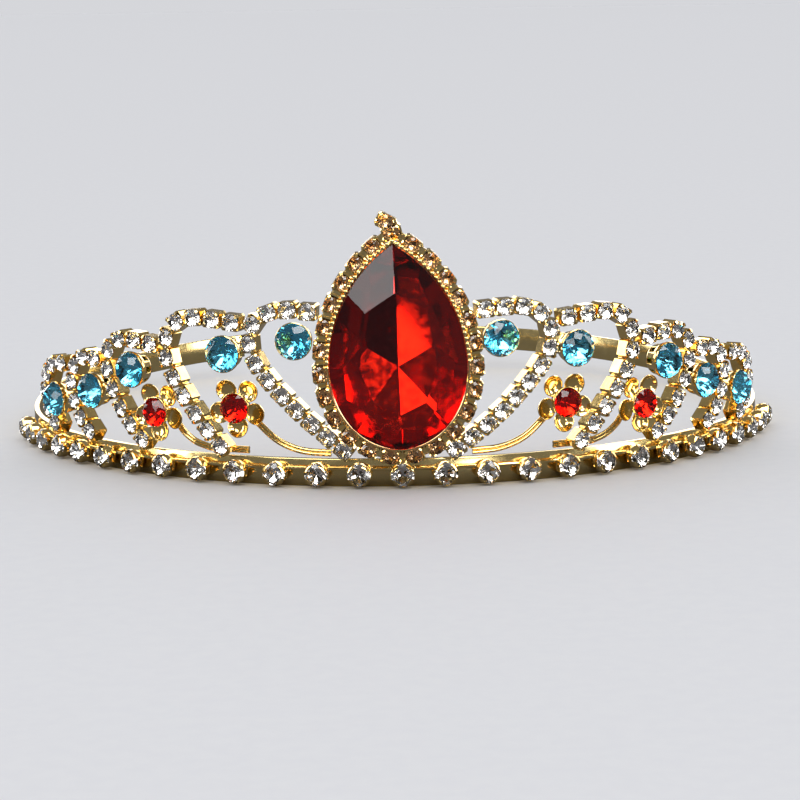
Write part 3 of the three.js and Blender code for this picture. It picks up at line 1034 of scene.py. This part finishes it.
class TIARA_OT_blues(bpy.types.Operator):
    """Make the round blue stones in their open baskets"""

    bl_idname = "tiara.blues"
    bl_label = "Blue stones"

    def execute(self, context):
        radius = mm(sizes().blue_stone)
        rim = radius + 0.13
        cup = round_cup(
            "blue_cup",
            [(1.9, -2.58), (2.25, -2.5), (2.42, -2.15), (2.6, -0.95), (2.78, -0.6), (rim, -0.05),
             (rim - 0.02, 0.24)],
            32, 8, [], 0.2, (-2.1, -0.9), 22.5,
        )
        soften(cup, 0.05, 1)
        stone = brilliant(
            "blue_stone", radius, 1.3, radius * SHALLOW_CUT, *glass("aqua", colours().aqua), girdle=0.2,
        )
        shake = random.Random(9)
        for name in both_sides(BLUES):
            top, = stone_tops("blue_stone_" + name)
            rim_place, out = sunk(top, BLUE_TOP), top[1]
            gem_place = seat(rim_place, out, shake.uniform(0, 0.7), 0.4)
            setting = joined("blue_setting_" + name, copies(cup, [seat(rim_place, out)]))
            gem = joined("blue_crystal_" + name, copies(stone, [gem_place]))
            finished(setting, ["blue_cup_" + name], claw_gold(), 35)
            finished(gem, ["blue_stone_" + name])
        put_away(cup, stone)
        return {"FINISHED"}


class TIARA_OT_flowers(bpy.types.Operator):
    """Make the flowers: five spoon petals round a cup with a red stone"""

    bl_idname = "tiara.flowers"
    bl_label = "Flowers"

    def execute(self, context):
        kit = sizes()
        radius = mm(kit.red_stone)
        petal_radius = mm(kit.petal)
        hub = round_cup(
            "flower_hub",
            [(1.5, -2.15), (1.75, -2.0), (2.0, -1.2), (radius + 0.13, -0.2), (radius + 0.12, 0.24)],
            24, 4, [], 0.2,
        )
        soften(hub, 0.05, 1)
        clear_selection()
        bpy.ops.mesh.primitive_circle_add(vertices=24, radius=petal_radius, fill_type="NGON")
        petal = started("petal")
        edit()
        pick_all()
        for step, drop in SPOON:
            bpy.ops.mesh.inset(thickness=step)
            bpy.ops.transform.translate(value=(0, 0, drop))
        done()
        thicken(petal, 0.18)
        soften(petal, 0.05)
        stone = brilliant(
            "red_stone", radius, 1.02, radius * SHALLOW_CUT, *glass("red", colours().red, 0.8, **DULL),
            girdle=0.2,
        )
        ring = radius + petal_radius - 0.9
        shake = random.Random(21)
        for name in both_sides(FLOWERS):
            top, = stone_tops("red_stone_" + name)
            rim_place, out = sunk(top, RED_TOP), top[1]
            place = seat(rim_place, out)
            petals = []
            for i in range(5):
                swing = Matrix.Rotation(math.radians(-90 + 72 * i), 4, "Z")
                tilt = Matrix.Rotation(math.radians(-9 + shake.uniform(-2, 2)), 4, "Y")
                petals.append(place @ swing @ Matrix.Translation((ring, 0, -1.05)) @ tilt)
            gem_place = seat(rim_place, out, shake.uniform(0, 0.7), 0.4)
            setting = joined("flower_petals_" + name, copies(hub, [place]) + copies(petal, petals))
            gem = joined("flower_crystal_" + name, copies(stone, [gem_place]))
            finished(setting, ["flower_" + name], claw_gold(), 55)
            finished(gem, ["red_stone_" + name])
        put_away(hub, petal, stone)
        return {"FINISHED"}


def wire_course(node):
    """The middle line of a stem's solid, from its flower to its foot."""
    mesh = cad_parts[node].data
    points = {tuple(round(c, 7) for c in v.co): v.co.copy() for v in mesh.vertices}
    points = sorted(points.values(), key=way_round)
    corners = 8
    rings = [points[i:i + corners] for i in range(0, len(points) - corners + 1, corners)]
    return [sum(ring, Vector()) / len(ring) for ring in rings]


def run_on(course):
    """Lengthens a wire whose end shows past the arch that it is soldered to."""
    if course[0].z < course[-1].z:
        course.reverse()
    way = 1 if course[-1].x < course[0].x else -1
    foot = course[-1] - RING_CENTRE
    for step in (0.035, 0.075, 0.108):
        course.append(RING_CENTRE + Matrix.Rotation(-way * step, 3, "Z") @ foot)


def strand(course, side):
    """One of a stem's two wires, on the bench."""
    thickness = mm(sizes().wire)
    line = bpy.data.curves.new("strand", "CURVE")
    line.dimensions = "3D"
    line.bevel_depth = thickness
    line.bevel_resolution = 2
    line.resolution_u = 3
    line.use_fill_caps = True
    spline = line.splines.new("NURBS")
    spline.points.add(len(course) - 1)
    for i, point in enumerate(course):
        across = outward(point).cross(heading(course, i)).normalized()
        place = point * BENCH + across * (side * thickness * 0.86)
        spline.points[i].co = (*place, 1)
    spline.use_endpoint_u = True
    spline.order_u = 3
    wire = bpy.data.objects.new("strand", line)
    bpy.context.collection.objects.link(wire)
    take(wire)
    bpy.ops.object.convert(target="MESH")
    return bpy.context.object


class TIARA_OT_stems(bpy.types.Operator):
    """Make the flowers' stems, each of two wires drawn side by side"""

    bl_idname = "tiara.stems"
    bl_label = "Stems"

    def execute(self, context):
        for name in both_sides(FLOWERS):
            course = wire_course("stem_" + name)
            if not name.endswith("_1"):
                run_on(course)
            wires = joined("stem_wires_" + name, [strand(course, side) for side in (-1, 1)])
            wires.data.transform(TO_METRES)
            finished(wires, ["stem_" + name], wire_gold(), 60)
        return {"FINISHED"}


# Stage

VIEW_DISTANCE = 0.45933
VIEW_HEIGHT = 0.168096728
VIEW_PAN = 0.00199872710
VIEW_TILT = 0.00671286299
VIEW_ROLL = -0.0150211955
VIEW_ROUND = 0.0153847667
VIEW_LENS = 116.904


def camera_matrix():
    """Where the viewer stands, in front of the ring and a little above it."""
    place = (0, -VIEW_DISTANCE * math.cos(VIEW_HEIGHT), VIEW_DISTANCE * math.sin(VIEW_HEIGHT))
    return (
        Matrix.Translation(RING_CENTRE) @ Matrix.Rotation(-VIEW_ROUND, 4, "Z") @ Matrix.Translation(place)
        @ Matrix.Rotation(-VIEW_PAN, 4, "Z") @ Matrix.Rotation(math.pi / 2 + VIEW_TILT - VIEW_HEIGHT, 4, "X")
        @ Matrix.Rotation(VIEW_ROLL, 4, "Z")
    )


# Name, direction, distance, width, height and radiance
LAMPS = (
    ("key", (-0.42, -0.745, 0.52), 0.8, 0.34, 0.34, 5.0),
    ("front fill", (0.3, -1.0, 0.5), 0.9, 0.36, 0.24, 9.0),
    ("left strip", (-0.95, -0.3, 0.25), 0.8, 0.14, 0.5, 9.0),
    ("right strip", (0.95, -0.35, 0.3), 0.8, 0.18, 0.6, 9.0),
    ("overhead", (0.1, -0.3, 1.0), 0.8, 0.8, 0.34, 9.0),
    ("back left", (-0.4, 1.0, 0.3), 0.9, 0.5, 0.5, 3.0),
    ("back right", (0.4, 1.0, 0.3), 0.9, 0.5, 0.5, 3.0),
    ("rim left", (-1.0, 0.45, 0.42), 0.9, 0.4, 0.5, 3.5),
    ("rim right", (1.0, 0.45, 0.42), 0.9, 0.4, 0.5, 3.5),
    ("low front", (0.42, -1.0, 0.04), 0.8, 0.1, 0.12, 9.0),
)
LAMP_AIM = Vector((0, -0.03, 0.02))

PALE = ((0.77, 0.77, 0.775), (0.785, 0.785, 0.785))
# The floor's colour as gold and glass reflect it: a painted dark reflection, not the floor's own colour.
FLOOR_PAINTED_DARK_IN_REFLECTIONS = (0.16, 0.16, 0.17)
ROOM_COLOUR = (0.95, 0.96, 1.0)
ROOM, ROOM_IN_GOLD = 1.1, 0.22
FLOOR_TO_ROOM = 0.685  # the floor's brightness beside the room's

CARD_PLACE, CARD_SIZE, CARD_TURN = (-0.0158, -0.0829, 0.0008), (0.012, 0.0055), 35
# The place and size of the card whose near-black colour is a painted dark reflection in the crystals.
DARK_PLACE, DARK_SIZE = (0.027, -0.099, 0.0004), (0.046, 0.042)


def softbox(name, direction, distance, width, height, radiance, receivers):
    """A soft lamp that looks at the tiara and isn't seen itself."""
    light = bpy.data.lights.new(name, "AREA")
    light.shape = "RECTANGLE"
    light.size = width
    light.size_y = height
    light.energy = math.pi * width * height * radiance
    lamp = bpy.data.objects.new(name, light)
    bpy.context.collection.objects.link(lamp)
    place = LAMP_AIM + Vector(direction).normalized() * distance
    lamp.matrix_world = (
        Matrix.Translation(place) @ (place - LAMP_AIM).to_track_quat("Z", "Y").to_matrix().to_4x4()
    )
    lamp.visible_camera = False
    lamp.light_linking.receiver_collection = receivers
    return lamp


def mirrored(nodes, links, share):
    """Whether a ray comes from polished gold, or by a share whether it comes through a crystal."""
    ray = nodes.new("ShaderNodeLightPath")
    either = nodes.new("ShaderNodeMath")
    either.operation = "MULTIPLY_ADD"
    either.inputs[1].default_value = share
    either.use_clamp = True
    links.new(ray.outputs["Is Transmission Ray"], either.inputs[0])
    links.new(ray.outputs["Is Glossy Ray"], either.inputs[2])
    return either.outputs["Value"]


def pale_floor():
    """A wide floor, evenly pale. In polished gold and glass its colour is a painted dark reflection, as a
    black table would give.
    """
    clear_selection()
    bpy.ops.mesh.primitive_circle_add(vertices=96, radius=6, fill_type="NGON")
    floor = started("floor")

    def fill(nodes, links, shader):
        cloud = noise(nodes, links, 400, 4).outputs["Fac"]
        # Rays from gold, and by a share rays through crystals, see a painted dark reflection instead of the
        # pale floor.
        seen = nodes.new("ShaderNodeMix")
        seen.data_type = "RGBA"
        seen.inputs["B"].default_value = (*FLOOR_PAINTED_DARK_IN_REFLECTIONS, 1)
        links.new(mirrored(nodes, links, 0.45), seen.inputs["Factor"])
        links.new(two_tone(nodes, links, cloud, *PALE), seen.inputs["A"])
        links.new(seen.outputs["Result"], shader.inputs["Base Color"])
        shader.inputs["Roughness"].default_value = 0.7

    floor.data.materials.append(finish("pale floor", PALE[0], fill))
    floor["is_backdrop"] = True
    return floor


def dark_reflection_card():
    """A dark card on the floor, which only shows in crystals, as a painted dark reflection in their facets.
    """
    bpy.ops.mesh.primitive_plane_add(size=1)
    card = started("dark card")
    card.data.transform(Matrix.Translation(DARK_PLACE) @ Matrix.Diagonal((*DARK_SIZE, 1, 1)))

    def fill(nodes, links, shader):
        cloud = noise(nodes, links, 400, 2).outputs["Fac"]
        links.new(two_tone(nodes, links, cloud, (0.01, 0.01, 0.01), (0.014, 0.013, 0.013)),
                  shader.inputs["Base Color"])
        shader.inputs["Specular IOR Level"].default_value = 0.0

    card.data.materials.append(finish("dark card", (0.01, 0.01, 0.01), fill))
    for sight in ("camera", "diffuse", "glossy", "shadow", "volume_scatter"):
        setattr(card, "visible_" + sight, False)
    card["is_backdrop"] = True


def studio():
    """Gold reflects a dim room, and light that leaves a crystal finds a brighter one."""
    world = bpy.data.worlds.new("studio")
    bpy.context.scene.world = world
    world.use_nodes = True
    nodes, links = world.node_tree.nodes, world.node_tree.links
    sky = nodes["Background"]
    sky.inputs["Color"].default_value = (*ROOM_COLOUR, 1)
    strength = spread(nodes, links, mirrored(nodes, links, 0.2), ROOM, ROOM_IN_GOLD, 0, 1)
    # Behind the tiara, the room is as bright as the floor that it meets.
    seen = nodes.new("ShaderNodeLightPath").outputs["Is Camera Ray"]
    meeting = spread(nodes, links, seen, 1.0, FLOOR_TO_ROOM, 0, 1)
    matched = nodes.new("ShaderNodeMath")
    matched.operation = "MULTIPLY"
    links.new(strength, matched.inputs[0])
    links.new(meeting, matched.inputs[1])
    links.new(matched.outputs["Value"], sky.inputs["Strength"])


class TIARA_OT_stage(bpy.types.Operator):
    """Set the pale floor, the soft lamps and the camera"""

    bl_idname = "tiara.stage"
    bl_label = "Stage"

    def execute(self, context):
        # The lamps leave the floor alone, so it stays evenly pale.
        spared = bpy.data.collections.new("spared by the lamps")
        spared.objects.link(pale_floor())
        for kept in spared.collection_objects:
            kept.light_linking.link_state = "EXCLUDE"
        for lamp in LAMPS:
            softbox(*lamp, spared)

        # A small bright card lights one facet of the pear stone, and the dark card paints a dark reflection
        # into another.
        card = softbox("pear card", UP, 0.8, *CARD_SIZE, 7.0, bpy.data.collections.new("lit by the card"))
        card.matrix_world = (
            Matrix.Translation(CARD_PLACE) @ Matrix.Rotation(math.radians(CARD_TURN), 4, "Z")
            @ Matrix.Rotation(math.pi, 4, "X")
        )
        dark_reflection_card()
        studio()

        lens = bpy.data.cameras.new("camera")
        lens.lens = VIEW_LENS
        lens.sensor_width = 36
        lens.clip_start = 0.01
        camera = bpy.data.objects.new("camera", lens)
        bpy.context.collection.objects.link(camera)
        camera.matrix_world = camera_matrix()
        context.scene.camera = camera
        context.scene.view_settings.view_transform = "Standard"
        context.scene.view_settings.exposure = -0.1
        return {"FINISHED"}


STEPS = (
    TIARA_OT_stage,
    TIARA_OT_band,
    TIARA_OT_row,
    TIARA_OT_arches,
    TIARA_OT_pear,
    TIARA_OT_halo,
    TIARA_OT_blues,
    TIARA_OT_flowers,
    TIARA_OT_stems,
)


class TIARA_PT_maker(bpy.types.Panel):
    """The tiara's sizes, colours and pieces"""

    bl_label = "Tiara"
    bl_idname = "TIARA_PT_maker"
    bl_space_type = "VIEW_3D"
    bl_region_type = "UI"
    bl_category = "Tiara"

    def draw(self, context):
        layout = self.layout
        for group in (context.scene.tiara_sizes, context.scene.tiara_colours):
            box = layout.box()
            for name in group.__annotations__:
                box.prop(group, name)
        for step in STEPS:
            layout.operator(step.bl_idname)


CLASSES = (TiaraSizes, TiaraColours, *STEPS, TIARA_PT_maker)


def register():
    for kind in CLASSES:
        bpy.utils.register_class(kind)
    bpy.types.Scene.tiara_sizes = PointerProperty(type=TiaraSizes)
    bpy.types.Scene.tiara_colours = PointerProperty(type=TiaraColours)


def unregister():
    del bpy.types.Scene.tiara_colours
    del bpy.types.Scene.tiara_sizes
    for kind in reversed(CLASSES):
        bpy.utils.unregister_class(kind)


def main():
    register()
    for step in STEPS:
        getattr(bpy.ops.tiara, step.bl_idname.split(".")[1])()
    made = [list(corner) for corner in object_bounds()]


if __name__ == "__main__":
    main()
